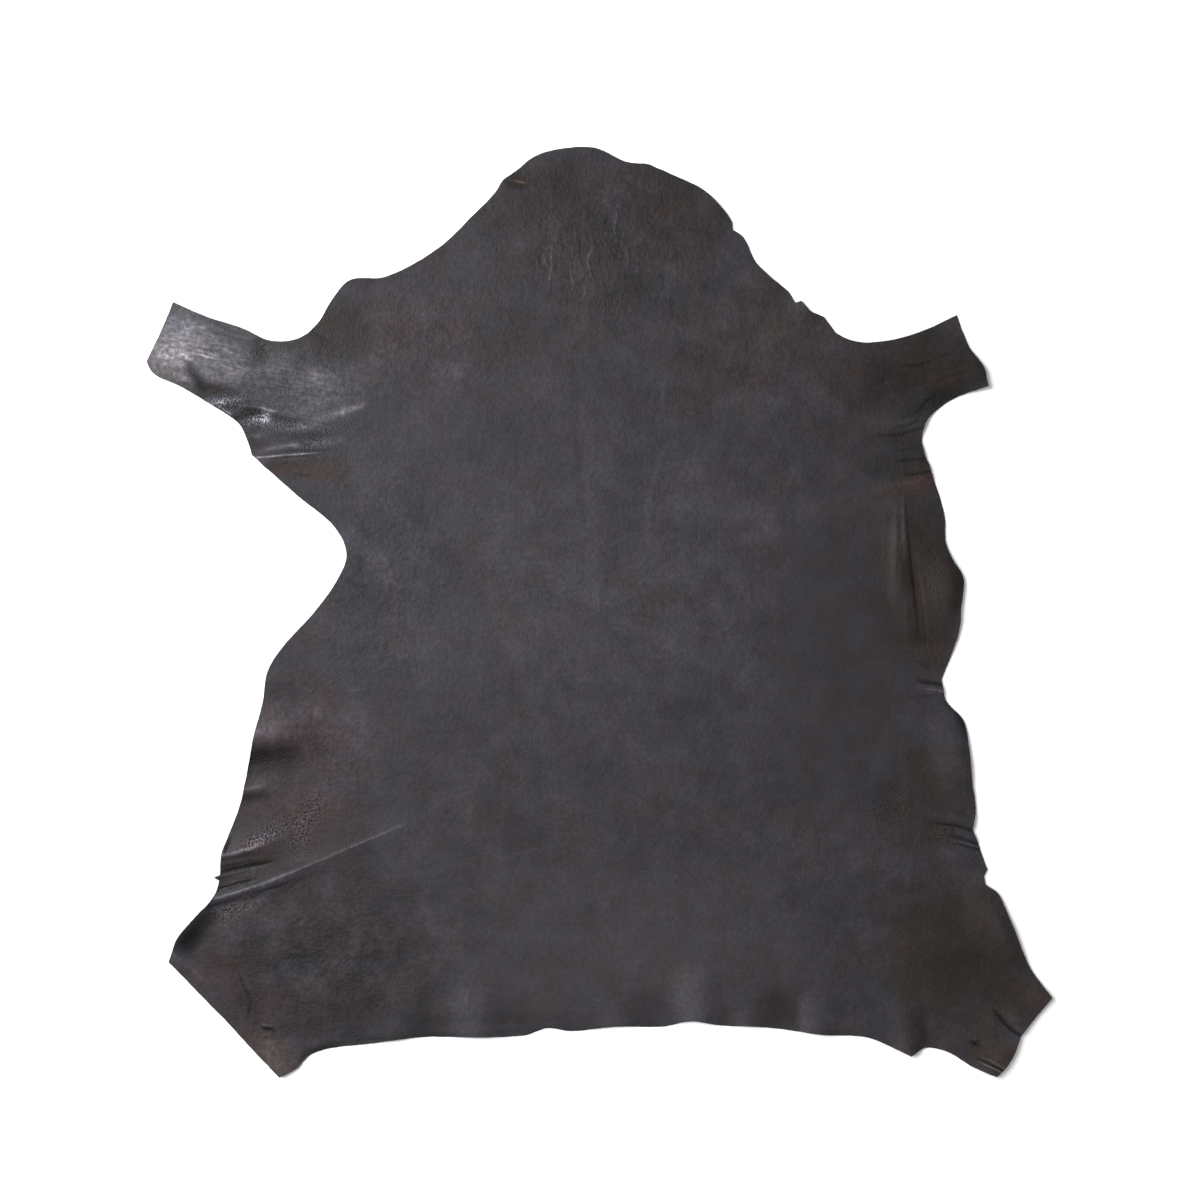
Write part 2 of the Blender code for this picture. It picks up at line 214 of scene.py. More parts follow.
CREASES = [Crease(*row) for row in (
    # Left hind flank: one long fold, with gathers fanned above it out to the edge. Painted highlights run
    # along the fold and its bright roll, painted shade lies in the gathers, at the fold's foot and at the
    # edge.
    ("long fold", ((-203, -224), (-222, -232), (-260, -248), (-300, -265), (-320, -273)), 1.5, 0.45, 1.4),
    ("long fold", ((-290, -261), (-317, -272), (-340, -281), (-360, -289), (-408, -304)),
     (1.5, 1.4), 0.45, 1.6, "edge"),
    ("long fold spread", ((-318, -274), (-345, -285), (-372, -293), (-400, -301)), (4, 3), 0.15, 0.6),
    ("long fold foot", ((-312, -281), (-335, -289), (-360, -298), (-378, -303), (-416, -313)),
     2.4, -0.4, -1.5, "edge"),
    ("long fold back", ((-312, -266), (-325, -272), (-345, -276)), 3, -0.3, -0.8),
    ("long fold line", ((-404, -300), (-384, -294), (-362, -287)), 1.2, -0.15, -1.1),
    ("long fold line", ((-398, -309), (-376, -302), (-350, -296), (-336, -290)), 1.4, 0.2, 1.2),
    ("faint diagonal", ((-313, -281), (-320, -286), (-327, -291), (-335, -299)), 1.3, -0.3, -0.9),
    ("faint diagonal", ((-318, -281), (-328, -287), (-338, -292)), 1.5, 0.2, 0.4),
    ("upper gather", ((-340, -265), (-352, -267), (-367, -270), (-393, -275), (-406, -279)),
     2.4, -0.7, -3.6, "edge"),
    ("upper gather line", ((-362, -263), (-380, -266), (-402, -271)), 1.2, -0.2, -1, "edge"),
    ("middle gather line", ((-366, -276), (-382, -279), (-404, -284)), 1.3, -0.2, -1.2, "edge"),
    ("upper gather roll", ((-352, -262), (-375, -265), (-404, -269)), 3, 0.5, 0.1, "edge"),
    ("middle roll", ((-358, -277), (-380, -280), (-406, -285)), 3, 0.3, -0.4, "edge"),
    ("middle roll crest", ((-378, -284), (-388, -286), (-402, -289)), 1.4, 0.1, 0.3),
    ("lower gather", ((-360, -283), (-375, -287), (-384, -289), (-393, -292), (-406, -295)),
     1.8, -1.1, -5, "edge"),
    ("edge shade", ((-397, -283), (-403, -284), (-409, -285)), 3, -0.3, -1.6, "edge"),
    ("bright roll", ((-350, -243), (-370, -250), (-386, -255), (-403, -258)), (2.4, 2), 0.7, 1.9, "edge"),
    ("bright roll back", ((-328, -236), (-352, -239), (-374, -246), (-394, -253)), 5, 0.3, 0.7),
    ("bright roll shade", ((-362, -256), (-380, -260), (-402, -264)), 2.6, -0.5, -0.5, "edge"),
    ("edge nick shade", ((-391, -238), (-394, -246), (-398, -257)), (1.6, 2), -1.2, -4),
    # Left flank: waves that run out to the edge, with painted highlights on their crests and painted shade
    # below them and along the lifted edge.
    ("flank streak", ((-354, -182), (-366, -186), (-386, -190)), 2.2, 0.25, 1.1, "edge"),
    ("flank edge lift", ((-374, -146), (-380, -166), (-386, -184)), 7, 1.4, -1.6),
    ("flank light", ((-296, -100), (-301, -106), (-306, -113)), 4, 0.1, 0.7),
    ("flank edge light", ((-340, -127), (-356, -126), (-374, -125)), (7, 6), 0.1, 0.7, "edge"),
    ("fine wrinkle", ((-272, -83), (-264, -84), (-253, -82)), 1.3, 0.2, 0.9),
    ("fine wrinkle", ((-256, -48), (-253, -41), (-247, -35)), 1.3, -0.2, -0.9),
    ("fine wrinkle", ((-293, -68), (-283, -71), (-277, -66)), 1.3, -0.1, -0.5),
    ("flank streak shade", ((-350, -193), (-366, -196), (-386, -199)), 4, -0.5, -1.3, "edge"),
    ("flank wave crest", ((-318, -118), (-345, -123), (-372, -128)), (8, 10), 0.5, 0.4, "edge"),
    ("flank wave shade", ((-312, -152), (-340, -155), (-380, -157)), (12, 13), -0.5, -2.5, "edge"),
    ("flank low wave", ((-340, -168), (-358, -171), (-382, -176)), 4, -0.4, -0.4, "edge"),
    ("bay wave", ((-280, 42), (-262, 30), (-240, 24)), 4, -0.4, -0.5),
    ("bay wave", ((-246, 56), (-262, 38), (-270, 33)), 3, -0.3, -0.4),
    # Left leg pit: the skin gathers across the top of the flank, with painted gleams where it rolls over and
    # painted shade in its creases and hollows.
    ("pit line", ((-290, 170), (-305, 169), (-320, 168), (-345, 166), (-372, 164)), 1.1, 0.6, 2.6, "edge"),
    ("pit line shade", ((-288, 171), (-300, 172), (-332, 171), (-350, 169), (-368, 168)), 1.3, -0.5, -2),
    ("pit line foot", ((-300, 165), (-325, 165), (-352, 162)), 1.2, -0.3, -0.9),
    ("pit pale band", ((-316, 176), (-330, 177), (-345, 175), (-358, 173)), 1.8, 0.3, 1.2),
    ("pit pale spot", ((-315, 177), (-323, 178), (-332, 177)), 2.6, 0.3, 1.3),
    ("pit pale fan", ((-268, 183), (-290, 181), (-314, 178)), 4, 0.2, 0.9),
    ("pit roll shade", ((-284, 188), (-310, 188), (-340, 188), (-354, 187)), 4, -0.5, -0.9),
    ("pit roll", ((-288, 198), (-320, 196), (-352, 196)), 3.2, 0.4, 0.9),
    ("pit arc", ((-313, 205), (-326, 204), (-340, 207), (-353, 210)), 2, -0.7, -1.8),
    ("pit arc", ((-354, 212), (-366, 214), (-381, 214)), 2.2, -0.6, -2),
    ("pit hollow", ((-366, 211), (-378, 212), (-386, 209)), 3.5, -0.4, -1.6),
    ("pit hollow", ((-381, 207), (-387, 207), (-393, 209)), 2.2, -0.3, -2.2),
    ("pit dark edge", ((-362, 192), (-372, 192), (-383, 190)), 3, -0.6, -2, "edge"),
    ("pit gleam", ((-347, 206), (-358, 206), (-368, 204), (-382, 200)), 5, 0.5, 2.2),
    ("pit gleam", ((-352, 198), (-356, 207), (-357, 214)), 4, 0.3, 1.6),
    ("pit gleam", ((-343, 213), (-352, 215), (-364, 218)), 1.4, 0.4, 2.6),
    ("pit gleam", ((-358, 186), (-364, 187), (-369, 186)), 2.4, 0.2, 1.2),
    ("edge gleam", ((-374, 223), (-390, 226), (-403, 224), (-422, 222)), (5, 6), 0.4, 2.7),
    ("edge gleam", ((-389, 208), (-398, 214), (-407, 220)), 1.4, 0.2, 2.2),
    ("brown hollow", ((-262, 158), (-300, 156), (-345, 154)), 5, -0.4, 0, "edge"),
    ("short crease", ((-304, 144), (-314, 145), (-326, 147)), (1.4, 1.6), -0.4, -0.7),
    ("pit fan", ((-242, 225), (-256, 219), (-271, 214), (-286, 209), (-310, 201)), 4.5, 0.4, 1.6),
    ("pit fan", ((-282, 229), (-292, 225), (-302, 223)), 3.4, 0.3, 0.7),
    # Left fore shank: stretched and burnished, with a dent on each side; painted shade in the dents and
    # hollows, painted gleams along the shank.
    ("shank dent", ((-352, 300), (-358, 284), (-363, 262)), 8, -0.5, -2.4),
    ("shank dent", ((-312, 286), (-334, 283), (-360, 279)), 7, -0.4, -1.2),
    ("shank hollow", ((-440, 268), (-431, 254), (-424, 244), (-417, 234)), 5, -0.5, -2.4),
    ("shank hollow", ((-432, 240), (-416, 236), (-400, 234), (-384, 230)), (6.5, 6), -0.6, -3),
    ("shank band", ((-252, 266), (-276, 280), (-300, 297), (-312, 306)), 7, -0.4, -0.7, "edge"),
    ("shank shade", ((-434, 257), (-450, 258), (-464, 261)), 2.6, -0.2, -0.8),
    ("shank gleam", ((-426, 246), (-442, 247), (-457, 251)), 3.5, 0.3, 0.9),
    ("shank gleam", ((-452, 268), (-462, 270), (-472, 270)), 7, 0.2, 0.5),
    ("shank gleam", ((-428, 266), (-440, 272), (-449, 281)), 1.7, 0.3, 0.9),
    ("shank gleam", ((-408, 269), (-422, 273), (-434, 276)), 1.5, 0.3, 0.9),
    ("shank streak", ((-396, 277), (-416, 279), (-438, 281)), 1.6, -0.2, -0.9),
    ("shank streak", ((-386, 291), (-404, 297), (-424, 302)), 1.8, -0.2, -0.8),
    ("shank streak", ((-378, 297), (-394, 300), (-416, 311), (-442, 317)), 3, -0.2, -0.9),
    ("shank streak", ((-370, 284), (-382, 289), (-394, 290)), 2, -0.2, -0.7),
    ("shank streak", ((-362, 262), (-382, 266), (-402, 266)), 2.2, -0.2, -0.8),
    ("shank streak", ((-428, 262), (-448, 268), (-474, 262)), 1.6, -0.2, -0.5),
    # Right leg pit and shank: painted shade in their creases and fan lines, faint painted highlights on the
    # folds.
    ("pit crease", ((294, 188), (318, 189), (334, 193), (348, 198)), (1.5, 1.6), -0.4, -2),
    ("pit crease", ((310, 161), (330, 162), (352, 164)), (1.6, 1.8), -0.4, -1.7, "edge"),
    ("pit crease", ((322, 147), (338, 147), (354, 150)), (1.4, 1.6), -0.4, -2, "edge"),
    ("pit crease", ((270, 170), (300, 173), (346, 176)), 3.6, 0.2, 0.1, "edge"),
    ("brown fold", ((278, 124), (312, 134), (356, 143)), (3.6, 4.6), 0.5, 0.2, "edge"),
    ("shank line", ((324, 263), (338, 263), (350, 266), (357, 267)), 1.3, -0.3, -2.4),
    ("shank line", ((354, 270), (364, 273), (374, 276)), 1.3, -0.2, -1),
    ("shank fan", ((322, 226), (350, 242), (384, 256)), 3, 0.2, 0.25),
    ("shank fan", ((338, 216), (350, 226), (362, 236)), 1.6, -0.2, -1.4),
    ("shank fan", ((318, 206), (336, 212), (352, 230)), 1.6, -0.2, -1.3),
    ("shank fan", ((326, 198), (336, 204), (344, 214)), 1.6, -0.2, -0.7),
    ("shank fan", ((300, 232), (330, 240), (366, 250)), 2.4, -0.2, -0.4),
    ("pit crease", ((312, 196), (328, 199), (344, 205)), 1.3, -0.3, -1.6),
    ("pit crease", ((310, 172), (326, 173), (344, 176)), 1.9, -0.2, -0.7),
    ("shank fan", ((356, 246), (372, 251), (388, 258)), 1.6, -0.2, -1.5),
    ("shank fan", ((360, 254), (372, 259), (390, 266)), 1.6, -0.15, -0.6),
    # Right flank: faint long folds down the edge, from a crease of storage, and a pinch at the notch. Painted
    # light brightens the valley the solid's fold shades, painted shade dulls the bulge beside it, and the
    # lines, the notch and the edge below it carry painted highlights and painted shade.
    ("flank valley", ((320, 126), (326, 72), (331, 30), (339, -22)), (8, 9), 0, 1),
    ("flank line", ((322, 128), (323, 92), (323, 48)), 1.8, 0.2, 0.8),
    ("flank pale band", ((314, 116), (312, 60), (309, 4)), 4, 0.15, 0.9),
    ("flank line shade", ((317, 118), (317, 72), (316, 24)), 1.4, -0.15, -0.6),
    ("flank line shade", ((326, 118), (329, 74), (333, 36), (338, -4), (341, -32)), (1.8, 2.4), -0.4, -1.5),
    ("flank line shade", ((345, 8), (346, -14), (347, -36)), 2.2, -0.2, -0.5),
    ("flank line", ((337, 70), (342, 36), (347, 0), (349, -28)), 2.4, 0.2, 0.8),
    ("flank line", ((325, 24), (325, 0), (326, -28)), 1.6, 0.15, 0.5),
    ("flank bulge", ((350, 96), (356, 44), (357, 4), (352, -44)), 13, 0, -1.1),
    ("flank edge shade", ((364, 104), (372, 66), (382, 40), (380, 10), (370, -36)), 6, -0.3, -0.9),
    ("flank tan band", ((310, -42), (335, -41), (366, -40)), 5, 0.1, 0.4),
    ("notch upper crease", ((318, -45), (325, -43), (334, -43)), 1.2, -0.2, -0.7),
    ("notch upper crease", ((334, -51), (344, -54), (354, -62)), 1.2, -0.3, -0.7),
    ("notch crease", ((336, -72), (346, -74), (366, -77)), (1.7, 1.9), -0.7, -2.6, "edge"),
    ("notch gleam", ((342, -81), (350, -82), (368, -84)), 0.9, 0.3, 1.2, "edge"),
    ("notch fan", ((322, -90), (342, -90), (366, -88)), 2, -0.2, -0.4, "edge"),
    ("flank black edge", ((362, -91), (378, -103), (388, -120), (391, -140)), (4, 5), -0.5, -2.4),
    # Right hind flank: three short gathers at the edge, and a rolled edge below them; painted shade in the
    # gathers, the crease and along the edge, painted highlights on the rolls and on the lips at the corner.
    ("hind gather", ((350, -223), (362, -225), (380, -228), (402, -234)), (1.3, 1.4), -0.8, -2, "edge"),
    ("hind gather", ((368, -236), (384, -241), (408, -249)), (1.3, 1.4), -0.7, -1.6, "edge"),
    ("hind gather", ((378, -246), (392, -250), (408, -254)), (1.2, 1.3), -0.6, -1.5, "edge"),
    ("hind gather roll", ((350, -215), (372, -219), (404, -227)), 2.2, 0.3, 0.3, "edge"),
    ("hind gather roll", ((372, -243), (388, -246), (406, -251)), 0.9, 0.3, 0.9, "edge"),
    ("hind edge shade", ((416, -300), (434, -340), (452, -384)), (5, 4), -0.4, -0.6),
    ("hind crease", ((416, -420), (426, -431), (436, -442), (450, -452)), (1.3, 1.4), -0.7, -2.8, "edge"),
    ("hind crease roll", ((424, -420), (438, -432), (446, -440)), 4, 0.2, 0.3),
    ("hind lip", ((398, -476), (410, -481), (424, -487), (432, -492)), 0.9, 0.3, 2, "edge"),
    ("hind lip", ((402, -472), (416, -477), (432, -486)), 0.9, 0.2, 1.5, "edge"),
    ("hind lip shade", ((400, -474), (414, -480), (432, -489)), 1, -0.5, -3, "edge"),
    ("cross nick", ((393, -454), (399, -459), (408, -463)), 1.3, -0.3, -2.2),
    ("cross nick", ((395, -464), (400, -458), (405, -455)), 1.2, -0.2, -1.8),
    ("cross nick", ((390, -459), (396, -458), (402, -460)), 1.2, -0.2, -1.3),
    # Left hind shank: a hollow at the edge, a scratch and a puckered slit; painted shade in the hollow,
    # between the slit's lips and along the bottom edge, painted highlights on the pucker and at the edge.
    ("shank hollow", ((-408, -316), (-424, -331), (-440, -350), (-454, -362)), (10, 8), -0.9, -3),
    ("scratch", ((-385, -382), (-380, -397), (-375, -406), (-371, -414)), 1.3, -0.3, -2),
    ("scratch", ((-371, -411), (-373, -422), (-374, -436)), 1.3, -0.3, -2.2),
    ("scratch", ((-380, -384), (-372, -402), (-366, -416)), 2.4, 0.2, 0.4),
    ("slit lips", ((-345, -446), (-353, -444), (-361, -442)), 1.6, -0.3, -5),
    ("edge light", ((-420, -396), (-432, -382), (-446, -370)), 4, 0.2, 0.5),
    ("edge shade", ((-268, -461), (-296, -465), (-310, -470), (-322, -480)), 3.6, -0.2, -2.2),
    ("brown dent", ((-292, -431), (-302, -438), (-314, -436)), 6, -0.2, -1.2),
    ("brown dent", ((-258, -443), (-268, -449), (-276, -457)), 5, -0.2, -1),
    ("brown dent", ((-346, -384), (-334, -402), (-320, -424)), 7, -0.1, -0.6),
    ("slit pucker", ((-344, -439), (-352, -440), (-364, -439)), 1.5, 0.5, 1),
    ("slit pucker", ((-352, -453), (-358, -453)), 1.2, -0.3, -1.2),
    # Rump: flutes at the edge, where the skin lifts a little, with painted light and painted shade on them
    # and painted shade along the rim.
    ("rump light", ((-148, -380), (-148, -418), (-148, -450)), 16, 0.12, 0.6, "edge"),
    ("rump light", ((91, -360), (92, -400), (93, -452)), 17, 0.07, 0.45, "edge"),
    ("rump light", ((217, -400), (217, -452)), 6, 0.1, 0.7, "edge"),
    ("rump shade", ((192, -392), (192, -420), (193, -452)), (12, 11), -0.07, -0.4, "edge"),
    ("rump shade", ((48, -396), (48, -452)), 20, 0, -0.4, "edge"),
    ("rump shade", ((-190, -396), (-190, -448)), 14, 0, -0.5, "edge"),
    ("rump shade", ((343, -410), (344, -452)), 5, 0, -0.5, "edge"),
    ("rump rim", ((-296, -463), (-262, -456), (-226, -453), (-180, -451), (-130, -449)), 3, -0.15, -0.9),
    ("rump rim", ((-140, -449), (-100, -447), (-60, -446), (-20, -444), (40, -443)), 3, -0.1, -0.6),
    ("rump band", ((-300, -432), (-240, -429), (-170, -434), (-100, -430), (-30, -433)), (5, 6), 0, -0.4),
    ("rump spot", ((-8, -310), (-10, -316), (-12, -322)), 5, -0.1, -0.6),
    ("rump line", ((-30, -244), (-70, -254), (-112, -267)), 3, 0.1, 0.3),
    # Neck: short growth wrinkles, with painted highlights on the raised ones and painted shade on the sunken
    # ones.
    ("growth wrinkle", ((-16, 430), (-17, 420), (-17, 408)), 1.1, 0.2, 0.9),
    ("growth wrinkle", ((18, 424), (16, 412), (16, 402), (18, 390)), 1.2, 0.25, 1.35),
    ("growth wrinkle", ((-50, 398), (-52, 378), (-51, 369), (-54, 353), (-54, 338)), 1.1, 0.25, 1.3),
    ("growth wrinkle", ((-10, 404), (-8, 390), (-13, 375), (-11, 366), (-9, 354)), 1.1, 0.25, 1.35),
    ("growth wrinkle", ((-32, 374), (-31, 362), (-29, 352), (-29, 340)), 1.1, 0.2, 1),
    ("growth wrinkle", ((-16, 350), (-16, 341), (-18, 332)), 1.1, 0.2, 1),
    ("growth wrinkle", ((-61, 386), (-59, 376), (-60, 366)), 1.1, 0.2, 0.8),
    ("growth wrinkle", ((-69, 380), (-66, 370), (-66, 360)), 1.1, 0.2, 0.9),
    ("growth wrinkle", ((27, 392), (30, 376), (28, 360)), 1.1, 0.2, 0.8),
    ("growth wrinkle", ((38, 386), (40, 370), (38, 352)), 1.1, 0.15, 0.7),
    ("growth wrinkle", ((-28, 414), (-26, 404), (-27, 392)), 1.1, 0.15, 0.8),
    ("growth wrinkle", ((-40, 402), (-39, 388), (-41, 372)), 1.2, -0.2, -0.8),
    ("growth wrinkle", ((-20, 402), (-21, 386), (-19, 368)), 1.2, -0.2, -0.9),
    ("growth wrinkle", ((2, 396), (0, 378), (2, 362)), 1.2, -0.15, -0.7),
    ("growth wrinkle", ((-84, 440), (-80, 428), (-82, 412)), 1.2, 0.15, 0.5),
    ("neck scratch", ((-98, 460), (-87, 458), (-76, 456)), 1.3, -0.1, 1.8),
    ("neck scratch shade", ((-101, 453), (-88, 452), (-76, 452)), 2.4, -0.1, -0.7),
    # Shoulder and spine: long faint lines of growth and of storage, with faint painted highlights on the
    # raised ones and faint painted shade on the sunken one.
    ("shoulder line", ((126, 355), (138, 352), (152, 350)), 1.8, 0.25, 0.25),
    ("shoulder line", ((148, 350), (168, 347), (192, 345)), 1.8, 0.25, 0.2),
    ("spine streak", ((69, 260), (70, 240), (66, 214)), 3, 0.35, 0.3),
    ("spine streak", ((70, 182), (62, 150), (56, 128), (50, 92), (52, 72)), 4, 0.35, 0.35),
    ("spine line", ((-24, 300), (-26, 240), (-22, 170), (-12, 60)), 5, -0.3, -0.25),
    ("storage line", ((-136, -182), (-139, -215), (-140, -256)), 6, 0.3, 0.5),
    ("storage line", ((-146, -290), (-147, -350), (-145, -396)), 4, 0.2, 0.15),
    ("storage line", ((330, -88), (326, -180), (330, -270), (327, -350), (329, -450)), 4, 0.15, 0.12),
)]

# ---- Patches of the grain ----
# How the skin took its dye and polish: browner (+) or bluer (-), redder (+), paler (+) or darker (-),
# how far the coarse pebble of the flanks shows, how far stretching has burnished it, and how cockled it is.
# Paler and darker are partly the dye's depth and partly painted light: a painted sheen on the left fore shank
# and its root, painted shade at the left shank's armpit, the right pit and the gathers, and the right side
# painted darker than the left, after the light that falls from the left. Burnished skin also turns to the
# grey of a painted sheen.

QUALITIES = ("tone", "brown", "rosy", "pebble", "sheen", "mottle")

Patch = namedtuple("Patch", ("name", "x", "y", "along", "across", "turned", *QUALITIES), defaults=(0,) * 7)

PATCHES = (
    # The broad parts of the skin.
    Patch("neck", 5, 400, 150, 120, brown=0.35, rosy=0.1, tone=-0.3, mottle=0.85),
    Patch("left shoulder", -195, 290, 140, 90, rosy=0.3, tone=0.15, mottle=0.6),
    Patch("right shoulder", 190, 290, 150, 100, brown=0.3, rosy=0.06, tone=0.03, mottle=0.35),
    Patch("back", 0, 40, 260, 200, brown=-0.1, tone=0.3),
    Patch("left side", -230, 50, 90, 160, brown=-0.15, rosy=-0.05, tone=0.02, mottle=0.7),
    Patch("right side", 260, -40, 100, 240, brown=0.2, rosy=-0.05, tone=-0.25, mottle=-0.6),
    Patch("rump", 50, -350, 260, 120, brown=0.12, tone=0.4, mottle=-0.55),
    Patch("left hind", -290, -365, 150, 110, brown=0.2, rosy=0.27, tone=-0.5, mottle=1.2),
    Patch("left flank", -320, -150, 90, 110, rosy=0.65, tone=0.5, mottle=0.6),
    Patch("low left flank", -325, -235, 80, 60, brown=0.1, rosy=0.6, tone=0.15, mottle=-0.4),
    Patch("right hind", 380, -365, 110, 110, brown=1.2, tone=-0.2),
    Patch("right flank", 340, 40, 60, 130, brown=1, tone=-0.45),
    Patch("right hind flank", 345, -200, 70, 80, brown=0.75, tone=-0.25),
    # Painted sheen pales the left fore shank and its root; painted shade darkens the left shank's armpit.
    Patch("right fore shank", 345, 255, 110, 60, brown=0.9, tone=-0.8, sheen=-0.7),
    Patch("left fore shank", -440, 285, 104, 66, -14, brown=0.1, tone=2.2, sheen=1),
    Patch("left shank root", -320, 245, 110, 55, tone=0.97, sheen=0.9, mottle=0.7),
    Patch("left pit", -310, 190, 80, 34, brown=-0.2, sheen=0.6),
    Patch("left shank armpit", -286, 300, 50, 50, brown=0.3, rosy=0.4, tone=-0.9),
    Patch("left shank, brown", -410, 239, 16, 8, -28, brown=0.6, rosy=0.6, sheen=-0.5),
    Patch("left shank, tan", -448, 262, 24, 10, brown=0.2, rosy=0.1, tone=0.5, sheen=-0.4),
    # Smaller clouds of umber.
    Patch("neck, left", -44, 453, 50, 38, brown=0.4, rosy=0.25, tone=-0.15),
    Patch("neck, right", 88, 432, 78, 50, -34, brown=0.4, rosy=0.25, tone=-0.2),
    Patch("neck, middle", 36, 406, 54, 42, -40, brown=-0.15, tone=-0.7),
    Patch("neck, crest", 16, 440, 12, 60, brown=-0.4, tone=0.1),
    Patch("neck scratch", -86, 457, 16, 6, brown=2, rosy=-0.2, tone=0.2, sheen=-1),
    Patch("shoulder band, left", -245, 274, 70, 42, brown=0.25),
    Patch("shoulder band, middle", -85, 290, 95, 55, brown=0.28),
    Patch("right shoulder cloud", 128, 250, 60, 52, brown=0.25, rosy=0.3, tone=0.05),
    Patch("right shoulder edge", 175, 333, 35, 40, brown=0.2, tone=-0.1),
    Patch("right shank tip", 406, 262, 20, 40, brown=-0.4, tone=-1.1),
    Patch("right shank root", 280, 250, 60, 34, rosy=0.45),
    Patch("right pit", 245, 200, 30, 34, brown=0.2, tone=-0.05),
    Patch("right pit fold", 322, 134, 52, 15, 14, brown=0.7, rosy=0.55, tone=0.6, sheen=-0.2),
    Patch("left pit fold", -306, 153, 66, 14, 2, brown=1.1, rosy=0.7, tone=0.2),
    Patch("right pit", 300, 190, 64, 54, brown=0.4, tone=-0.3),
    Patch("right shank tan", 376, 252, 40, 17, 18, brown=0.9, rosy=0.8, tone=0.5, sheen=-0.3),
    # Painted shade along the right pit's edge, and on its low fold two rows down, where the fold catches
    # light.
    Patch("right pit edge", 336, 176, 42, 26, brown=-0.2, tone=-0.7),
    Patch("right shank edge", 384, 236, 56, 14, 22, rosy=-0.3, tone=-1.1),
    Patch("right pit, low", 326, 157, 54, 20, 4, brown=0.3, tone=-1),
    Patch("right flank tan", 345, -35, 44, 24, 10, brown=0.6, rosy=0.2, tone=0.2),
    Patch("right flank bulge", 356, 14, 30, 74, brown=0.9, rosy=0.6),
    Patch("middle back", 43, 13, 60, 40, brown=0.3, tone=0.05),
    Patch("left back", -107, 35, 80, 55, brown=0.1),
    Patch("left hind edge", -309, -413, 110, 42, brown=0.2, rosy=0.2),
    Patch("left hind shank", -395, -398, 96, 62, -45, brown=0.1, rosy=0.4, tone=0.1),
    Patch("left hind shank, end", -350, -466, 54, 30, -40, brown=1.1, rosy=0.25, tone=1.3, sheen=-0.2),
    Patch("left hind shank, tip", -451, -364, 18, 16, brown=-0.6, rosy=-0.4, tone=0.8),
    Patch("left hind cloud", -320, -398, 60, 40, brown=-0.2, rosy=-0.25, tone=-0.15),
    Patch("left shank tip", -462, 266, 36, 32, brown=0.4, rosy=0.6, tone=0.6, sheen=-0.4),
    Patch("low back", -85, -242, 75, 45, brown=0.25),
    Patch("low back, left", -170, -178, 40, 34, brown=0.12),
    Patch("rump, left", -190, -412, 60, 30, brown=0.18),
    Patch("rump, middle", 20, -402, 60, 30, brown=0.15),
    Patch("rump, right", 190, -416, 44, 30, brown=0.6),
    Patch("right hind shank", 462, -413, 42, 36, brown=0.8, rosy=0.3, tone=0.1),
    Patch("right hind corner", 420, -474, 34, 24, -20, brown=1.8, rosy=0.1, tone=0.4, sheen=-0.3),
    # Clouds of slate.
    Patch("upper back", 53, 183, 140, 115, brown=-0.2),
    Patch("upper back, left", -192, 173, 115, 125, brown=-0.2),
    Patch("waist, left", -192, -40, 140, 48, brown=-0.2),
    Patch("waist, middle", 85, -94, 170, 115, brown=-0.2),
    Patch("right shoulder spot", 186, 226, 32, 32, brown=-0.3, tone=-0.1),
    # The pebble of the flanks, whose tops get painted glints; the gathers' patch adds painted shade to their
    # brown.
    Patch("left flank pebble", -325, -232, 60, 34, 30, tone=-0.1, pebble=0.35),
    Patch("left flank pebble, roll", -346, -232, 46, 13, 26, tone=0.2, pebble=0.9),
    Patch("left flank pebble, fold", -318, -237, 38, 14, 78, tone=0.2, pebble=0.9),
    Patch("bright roll pebble", -366, -244, 30, 10, 20, tone=0.2, pebble=0.9, sheen=-0.3),
    Patch("pit gleam pebble", -366, 206, 30, 13, tone=-0.4, pebble=1.8),
    Patch("edge gleam pebble", -396, 222, 34, 12, tone=-0.4, pebble=1.6),
    Patch("left flank pebble, upper", -303, -206, 24, 18, 40, tone=0.1, pebble=0.7),
    Patch("left hind pebble", -390, -319, 44, 18, 24, brown=0.2, rosy=0.3, tone=0.9, pebble=1),
    Patch("left gathers", -374, -275, 52, 18, 16, brown=0.7, rosy=0.5, tone=-0.8),
    Patch("left pit pebble", -332, 197, 34, 10, tone=0.2, pebble=1),
    Patch("left pit pebble, inner", -294, 197, 10, 9, tone=0.2, pebble=0.8),
    Patch("left pit pebble, low", -304, 180, 20, 9, tone=0.2, pebble=1),
    Patch("left bay pebble", -290, 175, 50, 44, -35, pebble=0.25),
    Patch("right hind pebble", 312, -207, 34, 34, tone=-0.1, pebble=0.5),
    Patch("right gather pebble", 366, -236, 28, 22, brown=0.3, pebble=0.6),
)

# ---- The sheet ----
# The grain side, the flesh side 1.2 mm under it and the cut wall between them, as one closed mesh.
# Its points lie close together along creases and edges, and wide apart where the skin is flat.

FINEST, HALVINGS = 1.2, 3
COARSEST = FINEST * 2**HALVINGS
SPACING_CELL = 4.0
LATTICE_NEED, LATTICE_CLEAR, CELL_CLEAR = 1.5, 0.55, 0.5
RIM_CLOSE, RIM_NEAR, RIM_CLEAR = 1.5, 4.0, 0.6
LIFTED = 0.03
SHALLOW = 0.5
RAILS, RAIL_CLEAR = (0.55, 1.1, 1.8), 0.45
ZONES = ((1.2, 0.7), (2.5, 1.0), (5.0, 2.0))
PATH_PITCH = 2.0
CREASE_REACH, EDGE_FADE, SOFT_END = 3.0, 0.3, 0.7
STRAY, STRAY_LENGTH, STRAY_WIDTH, STRAY_SEED = 14.0, 30.0, 60.0, 11
PATCH_FALL = 1.5
WALL_FOOT = 0.55
KNIFE_EDGE = math.radians(55)


